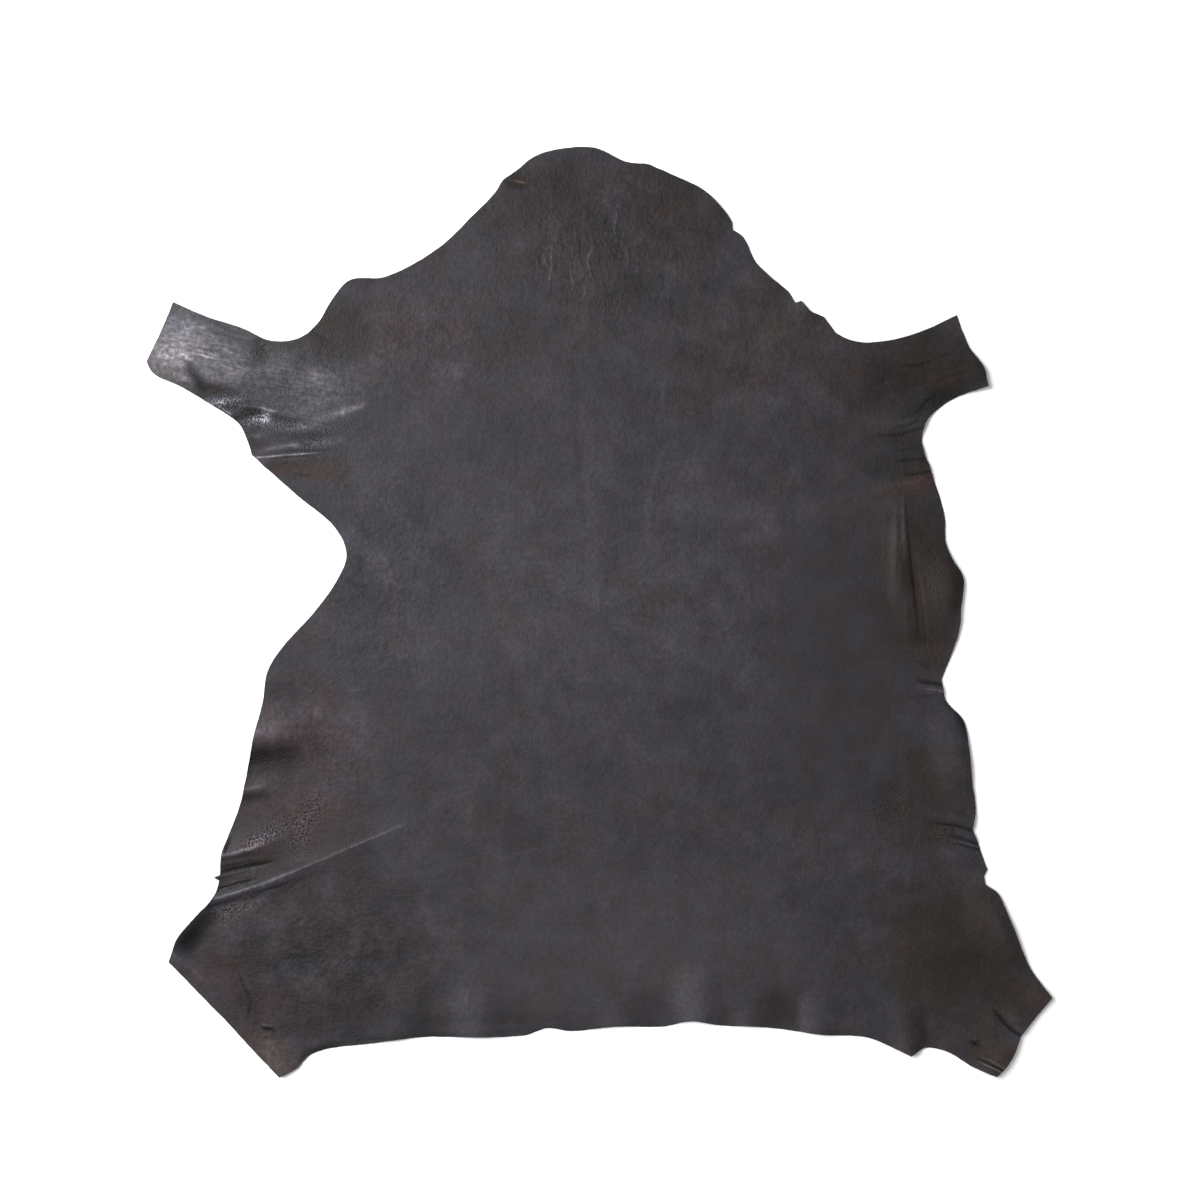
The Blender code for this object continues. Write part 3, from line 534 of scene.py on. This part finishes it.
def crease_path(crease):
    """A smooth line of points through the crease's own."""
    knots = np.array(crease.line, dtype=float)
    knots = np.concatenate(([2 * knots[0] - knots[1]], knots, [2 * knots[-1] - knots[-2]]))
    path = []
    for a, b, c, d in zip(knots, knots[1:], knots[2:], knots[3:]):
        steps = max(2, round(np.linalg.norm(c - b) / PATH_PITCH))
        t = np.linspace(0, 1, steps, endpoint=False)[:, None]
        curve = b + t * (c - a) / 2 + t**2 * (a - 2.5 * b + 2 * c - d / 2)
        path.append(curve + t**3 * (3 * (b - c) + d - a) / 2)
    return np.concatenate(path + [knots[-2:-1]])


def beside_path(points, path):
    """For each point: its distance to the path, signed to the left, and how far along it is, 0 to 1."""
    starts, steps = path[:-1], np.diff(path, axis=0)
    lengths = np.linalg.norm(steps, axis=1)
    offset = points[:, None, :] - starts
    share = np.clip((offset * steps).sum(axis=2) / lengths**2, 0, 1)
    away = offset - share[:, :, None] * steps
    distance = np.linalg.norm(away, axis=2)
    best, rows = distance.argmin(axis=1), np.arange(len(points))
    side = np.sign(steps[best, 0] * away[rows, best, 1] - steps[best, 1] * away[rows, best, 0])
    walked = np.concatenate(([0], np.cumsum(lengths)))
    return distance[rows, best] * side, (walked[best] + share[rows, best] * lengths[best]) / walked[-1]


PATHS = [crease_path(crease) for crease in CREASES]


def feet(crease):
    """The widths of the crease's foot to its left and to its right."""
    return np.broadcast_to(crease.foot, 2).tolist()


def creases_for(coarser):
    """The creases with their paths: all on the grain side (1), and on the flesh side (2) the deep ones."""
    for crease, path in zip(CREASES, PATHS):
        if coarser == 1 or abs(crease.height) >= SHALLOW:
            yield crease, path


def near_crease(points, crease, path):
    """Which points the crease can reach."""
    reach = CREASE_REACH * max(feet(crease))
    return ((points > path.min(axis=0) - reach) & (points < path.max(axis=0) + reach)).all(axis=1)


def crease_sum(points, quality):
    """What the creases add at each point: to its height in millimetres, or to its tone."""
    total = np.zeros(len(points))
    for crease, path in zip(CREASES, PATHS):
        near = near_crease(points, crease, path)
        across, along = beside_path(points[near], path)
        foot = np.where(across > 0, *feet(crease))
        if crease.end == "soft":
            fade = np.sin(math.pi * along) ** SOFT_END
        else:
            fade = np.clip(along / EDGE_FADE, 0, 1)
        total[near] += getattr(crease, quality) * fade * np.exp(-((across / foot) ** 2))
    return total


def strayed(points):
    """How far a slow noise moves each point about, so that a patch laid there has a wandering edge."""
    noise.seed_set(STRAY_SEED)
    return np.array([
        STRAY * noise.noise_vector(Vector((x, y, 0)) / STRAY_LENGTH).to_2d() for x, y in points
    ])


def patch_sum(points, stray, quality):
    """What the patches add to one quality at each point."""
    total = np.zeros(len(points))
    for patch in PATCHES:
        if getattr(patch, quality) == 0:
            continue
        turn = math.radians(patch.turned)
        offset = points + min(1, patch.across / STRAY_WIDTH) * stray - (patch.x, patch.y)
        along = (offset[:, 0] * math.cos(turn) + offset[:, 1] * math.sin(turn)) / patch.along
        across = (offset[:, 1] * math.cos(turn) - offset[:, 0] * math.sin(turn)) / patch.across
        total += getattr(patch, quality) * np.clip(1 - along**2 - across**2, 0, 1) ** PATCH_FALL
    return total


def lattice(pitch, parents):
    """Points of a triangular lattice over the skin's box, without those of the lattice twice as wide."""
    low, high = outline.min(axis=0), outline.max(axis=0)
    rows = int((high[1] - low[1]) / (pitch * math.sqrt(3) / 2)) + 1
    columns = int((high[0] - low[0]) / pitch + rows / 2) + 1
    i, j = np.meshgrid(np.arange(-(rows // 2) - 1, columns), np.arange(rows), indexing="ij")
    i, j = i.ravel(), j.ravel()
    if parents:
        odd = (i % 2 == 1) | (j % 2 == 1)
        i, j = i[odd], j[odd]
    points = np.column_stack((i + j / 2, j * math.sqrt(3) / 2)) * pitch + low
    return points[((points > low) & (points < high)).all(axis=1)]


def tree_of(points):
    """The points in plan, as a tree that finds the nearest."""
    tree = KDTree(len(points))
    for k, (x, y) in enumerate(points):
        tree.insert((x, y, 0), k)
    tree.balance()
    return tree


def spacing_map(coarser):
    """How far apart points may lie in each cell over the skin's box, and the corner of the first cell."""
    low = outline.min(axis=0) - SPACING_CELL
    counts = ((outline.max(axis=0) - low) / SPACING_CELL).astype(int) + 2
    i, j = np.meshgrid(*map(np.arange, counts), indexing="ij")
    cells = low + SPACING_CELL * np.column_stack((i.ravel(), j.ravel()))
    lifted = lay_height(np.clip(cells, LAY_CORNER + 2 * LAY_PITCH, None)) > LIFTED
    spacing = np.where(lifted, COARSEST / 2, COARSEST)
    rim = tree_of(outline)
    for k, (x, y) in enumerate(cells):
        away = rim.find((x, y, 0))[2]
        if away < RIM_CLOSE * SPACING_CELL:
            spacing[k] = min(spacing[k], coarser * COARSEST / 4)
        elif away < RIM_NEAR * SPACING_CELL:
            spacing[k] = min(spacing[k], COARSEST / 2)
    for crease, path in creases_for(coarser):
        near = np.flatnonzero(near_crease(cells, crease, path))
        across, _ = beside_path(cells[near], path)
        narrow = min(feet(crease))
        for reach, pitch in ZONES:
            close = near[np.abs(across) < reach * narrow + SPACING_CELL / 2]
            asked = coarser * np.clip(pitch * narrow, FINEST, COARSEST)
            spacing[close] = np.minimum(spacing[close], asked)
    return spacing.reshape(counts), low


def rails(coarser):
    """Points along each crease, on its line and down both its sides, and how far apart they may lie."""
    for crease, path in creases_for(coarser):
        way = np.gradient(path, axis=0)
        way /= np.linalg.norm(way, axis=1)[:, None]
        leftward = np.column_stack((-way[:, 1], way[:, 0]))
        left, right = feet(crease)
        clear = RAIL_CLEAR * coarser * min(left, right)
        for out in (0, *RAILS):
            yield path + out * left * leftward, clear
            yield path - out * right * leftward, clear


def lattices(coarser):
    """Points of lattices each half as wide as the one before, where the spacing asks for them."""
    spacing, low = spacing_map(coarser)
    for halved in range(HALVINGS + 1):
        pitch = COARSEST / 2**halved
        more = lattice(pitch, halved > 0)
        cell = ((more - low) / SPACING_CELL).round().astype(int)
        wanted = (spacing[cell[:, 0], cell[:, 1]] < pitch * LATTICE_NEED) | (halved == 0)
        yield more[wanted], min(LATTICE_CLEAR * pitch, CELL_CLEAR * SPACING_CELL)


def inner_points(coarser):
    """The points between the rims: the creases' first, then the lattices', none crowding another."""
    kept, cells = [], {}
    for points, clear in (*rails(coarser), *lattices(coarser)):
        for x, y in points.tolist():
            i, j = int(x // SPACING_CELL), int(y // SPACING_CELL)
            if all(
                math.hypot(x - other_x, y - other_y) > clear
                for near_i in (i - 1, i, i + 1) for near_j in (j - 1, j, j + 1)
                for other_x, other_y in cells.get((near_i, near_j), ())
            ):
                kept.append((x, y))
                cells.setdefault((i, j), []).append((x, y))
    rims = tree_of(np.concatenate((outline, slit)))
    return np.array([
        (x, y) for x, y in kept
        if rims.find((x, y, 0))[2] > RIM_CLEAR * EDGE_PITCH and drop_to_solid(x, y) is not None
    ])


def rim_steps():
    """Each step round the outline and then the slit, as the places of its two points."""
    start = 0
    for loop in (outline, slit):
        for k in range(len(loop)):
            yield start + k, start + (k + 1) % len(loop)
        start += len(loop)


def spread(inner):
    """Triangles over the rims and inner points: all points in plan, the triangles, and the rims' places."""
    points = [Vector(point) for point in np.concatenate((outline, slit, inner))]
    flat, _, faces, origins, *_ = delaunay_2d_cdt(points, list(rim_steps()), [], 1, MM)
    flat = np.array([tuple(point) for point in flat])
    place = {source: k for k, sources in enumerate(origins) for source in sources}
    rims = [place[k] for k in range(len(outline) + len(slit))]
    gap = set(rims[len(outline):])
    faces = np.array([face for face in faces if len(face) == 3 and not gap.issuperset(face)])
    a, b, c = (flat[faces[:, k]] for k in range(3))
    upward = (b[:, 0] - a[:, 0]) * (c[:, 1] - a[:, 1]) > (b[:, 1] - a[:, 1]) * (c[:, 0] - a[:, 0])
    faces[~upward] = faces[~upward][:, ::-1]
    return flat, faces, rims


def paint(mesh, name, values):
    """Keeps a value for each point of the mesh, for the material to read."""
    mesh.attributes.new(name, "FLOAT", "POINT").data.foreach_set("value", values.astype(np.float32))


def folded(points):
    """Height of the creased skin's flesh side, which sinks below the surface where a crease is deep."""
    return lay_height(points) + crease_sum(points, "height")


def sheet_mesh():
    """The closed mesh, with the qualities of the grain kept at its points."""
    grain, grain_faces, grain_rims = spread(inner_points(1))
    flesh, flesh_faces, flesh_rims = spread(inner_points(2))
    top = SKIN_THICKNESS + np.maximum(folded(grain), WALL_FOOT - SKIN_THICKNESS)
    bottom = np.maximum(folded(flesh), 0)
    points = np.concatenate((np.column_stack((grain, top)), np.column_stack((flesh, bottom))))
    under = len(grain)
    flesh_faces = flesh_faces[:, ::-1] + under
    walls = [
        (flesh_rims[a] + under, flesh_rims[b] + under, grain_rims[b], grain_rims[a]) for a, b in rim_steps()
    ]
    mesh = bpy.data.meshes.new("leather_hide")
    faces = grain_faces.tolist() + flesh_faces.tolist() + walls
    mesh.from_pydata((points * MM).tolist(), [], faces)
    sides = np.repeat((0, 1, 2), (len(grain_faces), len(flesh_faces), len(walls)))
    mesh.polygons.foreach_set("material_index", sides.astype(np.int32))
    mesh.shade_smooth()
    mesh.set_sharp_from_angle(angle=KNIFE_EDGE)
    stray = strayed(grain)
    for quality in QUALITIES:
        values = patch_sum(grain, stray, quality)
        if quality == "tone":
            values += crease_sum(grain, quality)
        paint(mesh, quality, np.concatenate((values, np.zeros(len(flesh)))))
    return mesh


hide = bpy.data.objects.new("leather_hide", sheet_mesh())
bpy.context.scene.collection.objects.link(hide)

# ---- The grain side ----
# Vegetable-tanned sheepskin, dyed dark in the drum, then waxed and ironed. The dye takes unevenly,
# so slate blue and umber cloud into each other, and the wax gives a soft sheen over fine pores.

# The last colour is the grey of burnished skin and of the painted highlights and painted glints.
SLATE, UMBER, OXBLOOD, RUBBED_AND_GLINT_GREY = "#2d2b31", "#27211e", "#2b1d1d", "#2c2b2e"

Pattern = namedtuple("Pattern", "size detail rough tone relief", defaults=(0, 0))

CLOUDS = Pattern(70, 2, 0.55, tone=1.25)
SMUDGES = Pattern(24, 3, 0.6, tone=1.4, relief=0.8)
MOTTLE = Pattern(5, 3, 0.65, tone=1.2, relief=0.4)
STREAKS = Pattern(2.4, 2, 0.6, tone=2.7, relief=0.5)
DYE = Pattern(40, 3, 0.7)
DYE_PLACES = (3, 7)
STREAK_STRETCH, SHANK_TURN = 6.5, math.radians(12)
UMBER_EVERYWHERE, UMBER_OF_CLOUDS, UMBER_OF_DYE, OXBLOOD_OF_DYE = 0.15, 0.5, 1.6, 1.5
# Painted glints: pale tone, mostly painted highlights, and the pebble's tops turn grey by these shares, up to
# the most; the tops are painted pale and the gaps between them dark.
GREY_OF_PALE_AND_PAINTED_HIGHLIGHTS, GREY_OF_PAINTED_GLINTS, MOST_GREY = 0.3, 0.7, 0.8
PAINTED_LIGHT_OF_TOPS, TONE_OF_PEBBLE = 1.9, -0.35
ROUGHNESS, ROUGH_SMUDGES, ROUGH_STRETCHED, ROUGH_FILLED = 0.58, 0.3, -0.08, -0.14
FILLED_PER_TONE, FILLED_FROM = -0.6, -0.2
WAX_SPECULAR = 0.22
PORE_PITCH, PORE_DEPTH = 1.5, 0.22
PEBBLE_PITCH, PEBBLE_DEPTH = 1.9, 1.0


def linear(code):
    """An sRGB hex colour as linear light."""
    channels = (int(code[k:k + 2], 16) / 255 for k in (1, 3, 5))
    return tuple(c / 12.92 if c <= 0.04045 else ((c + 0.055) / 1.055) ** 2.4 for c in channels) + (1.0,)


def add(tree, kind, *inputs, **named):
    """A node of the kind: inputs by place, and by name inputs (Capital) and settings (small letters)."""
    node = tree.nodes.new("ShaderNode" + kind)
    for name in [name for name in named if name.islower()]:
        setattr(node, name, named.pop(name))
    for key, value in (*enumerate(inputs), *named.items()):
        if isinstance(value, bpy.types.Node):
            value = value.outputs[0]
        if isinstance(value, bpy.types.NodeSocket):
            tree.links.new(value, node.inputs[key])
        else:
            node.inputs[key].default_value = value
    return node


def per_metre(size):
    """The texture scale that makes a feature of this size, in millimetres."""
    return 1 / (size * MM)


def new_material(name):
    material = bpy.data.materials.new(name)
    material.use_nodes = True
    return material, material.node_tree, material.node_tree.nodes["Principled BSDF"]


def waxed_grain():
    material, tree, shader = new_material("waxed_veg_tanned_grain")
    place = add(tree, "TexCoord").outputs["Object"]
    painted = {name: add(tree, "Attribute", attribute_name=name).outputs["Fac"] for name in QUALITIES}

    def clouded(pattern, over):
        """The pattern's clouds over the place, from minus to plus a half."""
        scale = per_metre(pattern.size)
        made = add(tree, "TexNoise", noise_dimensions="2D", Vector=over, Scale=scale, Detail=pattern.detail,
                   Roughness=pattern.rough)
        return add(tree, "Math", made, 0.5, operation="SUBTRACT")

    def summed(total, *terms):
        """The total and each term times its weight, added up."""
        for term, weight in terms:
            total = add(tree, "Math", term, weight, total, operation="MULTIPLY_ADD")
        return total

    clouds, smudges, mottle = (clouded(pattern, place) for pattern in (CLOUDS, SMUDGES, MOTTLE))
    dyed_brown, dyed_red = (
        clouded(DYE, add(tree, "VectorMath", place, (metres, 0, 0), operation="ADD")) for metres in DYE_PLACES
    )
    mirrored = add(tree, "VectorMath", place, operation="ABSOLUTE")
    along_shanks = add(tree, "Mapping", mirrored, vector_type="TEXTURE", Rotation=(0, 0, SHANK_TURN),
                       Scale=(STREAK_STRETCH, 1, 1))
    streaks = add(tree, "Math", clouded(STREAKS, along_shanks), painted["sheen"], operation="MULTIPLY")
    uneven = add(tree, "Math", painted["mottle"], 1.0, operation="ADD")
    cells, pores = (
        add(tree, "TexVoronoi", voronoi_dimensions="2D", feature=kind, Vector=place, Scale=per_metre(pitch))
        for pitch, kind in ((PEBBLE_PITCH, "SMOOTH_F1"), (PORE_PITCH, "F1"))
    )
    pebble = add(tree, "Math", cells, painted["pebble"], operation="MULTIPLY")
    # The pebble's tops: plus at each pebble's middle, minus between them, for painted glints and painted
    # shade.
    tops = summed(painted["pebble"], (pebble, -2.0))
    pale, raised = (add(tree, "Math", value, 0.0, operation="MAXIMUM") for value in (painted["tone"], tops))
    polish_and_painted_glint = summed(painted["sheen"], (pale, GREY_OF_PALE_AND_PAINTED_HIGHLIGHTS), (raised, GREY_OF_PAINTED_GLINTS))
    polish_and_painted_glint = add(tree, "Math", polish_and_painted_glint, MOST_GREY, operation="MINIMUM")

    # Dye: umber where it took strongly, slate between, and oxblood where the skin is thin at its flanks;
    # last, grey where the skin is burnished and where highlights and glints are painted.
    umber = add(tree, "Math", painted["brown"], UMBER_EVERYWHERE, operation="ADD")
    umber = summed(umber, (clouds, UMBER_OF_CLOUDS), (dyed_brown, UMBER_OF_DYE))
    rosy = summed(painted["rosy"], (dyed_red, OXBLOOD_OF_DYE))
    hue = linear(SLATE)
    for share, colour in ((umber, UMBER), (rosy, OXBLOOD), (polish_and_painted_glint, RUBBED_AND_GLINT_GREY)):
        mixed = add(tree, "Mix", data_type="RGBA", clamp_factor=True, Factor=share, A=hue, B=linear(colour))
        hue = mixed.outputs["Result"]

    # Depth of the dye, with the painted highlights and painted shade of the creases and patches and the
    # painted glints of the pebble's tops: one step of tone doubles or halves the colour.
    blotch = summed(0.0, (smudges, SMUDGES.tone), (mottle, MOTTLE.tone), (clouds, CLOUDS.tone))
    rubbed = add(tree, "Math", mottle, 1.0, operation="ADD")
    dye_and_painted_light_steps = summed(
        0.0, (painted["tone"], rubbed), (blotch, uneven), (streaks, STREAKS.tone), (tops, PAINTED_LIGHT_OF_TOPS),
        (painted["pebble"], TONE_OF_PEBBLE),
    )
    dye_and_painted_light_steps = add(tree, "Math", 2.0, dye_and_painted_light_steps, operation="POWER")
    dyed = add(tree, "VectorMath", hue, operation="SCALE", Scale=dye_and_painted_light_steps)
    tree.links.new(dyed.outputs[0], shader.inputs["Base Color"])

    # Wax: smoother where it fills the dark creases and where the skin was stretched, duller in its smudges.
    filled = add(
        tree, "Math", painted["tone"], FILLED_PER_TONE, FILLED_FROM, operation="MULTIPLY_ADD", use_clamp=True
    )
    gloss = summed(
        ROUGHNESS, (painted["sheen"], ROUGH_STRETCHED), (smudges, ROUGH_SMUDGES), (filled, ROUGH_FILLED)
    )
    tree.links.new(gloss.outputs[0], shader.inputs["Roughness"])
    shader.inputs["Specular IOR Level"].default_value = WAX_SPECULAR

    # Relief in millimetres: pores all over, the coarse pebble of the flanks, and a faint cockle.
    cockle = summed(0.0, (mottle, MOTTLE.relief), (smudges, SMUDGES.relief))
    relief = summed(
        0.0, (pores, PORE_DEPTH), (pebble, -PEBBLE_DEPTH), (cockle, uneven), (streaks, STREAKS.relief)
    )
    skin = add(tree, "Bump", Height=relief, Strength=1.0, Distance=MM)
    tree.links.new(skin.outputs[0], shader.inputs["Normal"])
    return material


hide.data.materials.append(waxed_grain())

# ---- The flesh side ----
# The inner face, shaved and left as a short suede nap. The dye sinks in here, a matt dark umber.

NAP_SIZE, NAP_DETAIL, NAP_DEPTH = 4.0, 5.0, 0.3
NAP_DARK, NAP_PALE = "#3a302b", "#4d413a"


def fibred(name, size, detail, dark, pale, roughness):
    """A matt material that clouds between two colours, and what it was made of: tree, shader, noise."""
    material, tree, shader = new_material(name)
    place = add(tree, "TexCoord").outputs["Object"]
    fibres = add(tree, "TexNoise", Vector=place, Scale=per_metre(size), Detail=detail)
    tone = add(tree, "Mix", data_type="RGBA", Factor=fibres, A=linear(dark), B=linear(pale))
    tree.links.new(tone.outputs["Result"], shader.inputs["Base Color"])
    shader.inputs["Roughness"].default_value = roughness
    return material, tree, shader, fibres


def suede_flesh():
    material, tree, shader, nap = fibred("suede_flesh_side", NAP_SIZE, NAP_DETAIL, NAP_DARK, NAP_PALE, 0.95)
    dent = add(tree, "Bump", Height=nap, Strength=0.5, Distance=NAP_DEPTH * MM)
    tree.links.new(dent.outputs["Normal"], shader.inputs["Normal"])
    return material


hide.data.materials.append(suede_flesh())

# ---- The cut wall ----
# The knife leaves the fibres bare between the two faces, a shade lighter and browner than the grain.

FIBRE_SIZE, FIBRE_DETAIL = 1.0, 3.0
FIBRE_DARK, FIBRE_PALE = "#2e2622", "#4a3b33"


def cut_fibres():
    return fibred("cut_leather_fibres", FIBRE_SIZE, FIBRE_DETAIL, FIBRE_DARK, FIBRE_PALE, 0.9)[0]


hide.data.materials.append(cut_fibres())

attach(hide, "root")
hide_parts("hide")

# ---- The floor ----
# A plain white studio sweep, matt, that the skin is laid on.

FLOOR_SIDE, FLOOR_WHITE = 9000.0, "#fcfcfc"


def studio_floor():
    """The sweep, on the surface at 0."""
    shape = bmesh.new()
    bmesh.ops.create_grid(shape, x_segments=1, y_segments=1, size=FLOOR_SIDE / 2 * MM)
    mesh = bpy.data.meshes.new("studio_floor")
    shape.to_mesh(mesh)
    shape.free()
    material, tree, shader = new_material("matt_white_sweep")
    shader.inputs["Base Color"].default_value = linear(FLOOR_WHITE)
    shader.inputs["Roughness"].default_value = 0.9
    shader.inputs["Specular IOR Level"].default_value = 0.1
    mesh.materials.append(material)
    floor = bpy.data.objects.new("studio_floor", mesh)
    bpy.context.scene.collection.objects.link(floor)
    return floor


floor = studio_floor()

# ---- Light and camera ----
# A big soft box at the upper left and a weak fill all round; the camera looks straight down.

SoftBox = namedtuple("SoftBox", "name x y z wide high power")

SOFT_BOXES = (
    SoftBox("key_soft_box", -1950, 900, 2350, 1900, 1900, 160),
    SoftBox("low_fill", 60, -700, 2500, 1000, 1000, 14),
)

for box in SOFT_BOXES:
    lamp = bpy.data.lights.new(box.name, "AREA")
    lamp.shape = "RECTANGLE"
    lamp.size, lamp.size_y = box.wide * MM, box.high * MM
    lamp.energy = box.power
    stand = bpy.data.objects.new(box.name, lamp)
    stand.location = Vector((box.x, box.y, box.z)) * MM
    stand.rotation_euler = (-stand.location).to_track_quat("-Z", "Y").to_euler()
    bpy.context.scene.collection.objects.link(stand)

ROOM_WHITE, ROOM_STRENGTH = "#ffffff", 0.2

world = bpy.context.scene.world or bpy.data.worlds.new("studio")
bpy.context.scene.world = world
world.use_nodes = True
room = world.node_tree.nodes["Background"]
room.inputs["Color"].default_value = linear(ROOM_WHITE)
room.inputs["Strength"].default_value = ROOM_STRENGTH
bpy.context.scene.view_settings.view_transform = "Standard"

FRAME_SIDE = 1278.0
LENS, SENSOR = 50.0, 36.0
CAMERA_OVER = (0.0, 13.0)

lens = bpy.data.cameras.new("overhead_camera")
lens.lens, lens.sensor_width = LENS, SENSOR
camera = bpy.data.objects.new("overhead_camera", lens)
camera.location = Vector((*CAMERA_OVER, FRAME_SIDE * LENS / SENSOR)) * MM
bpy.context.scene.collection.objects.link(camera)
bpy.context.scene.camera = camera
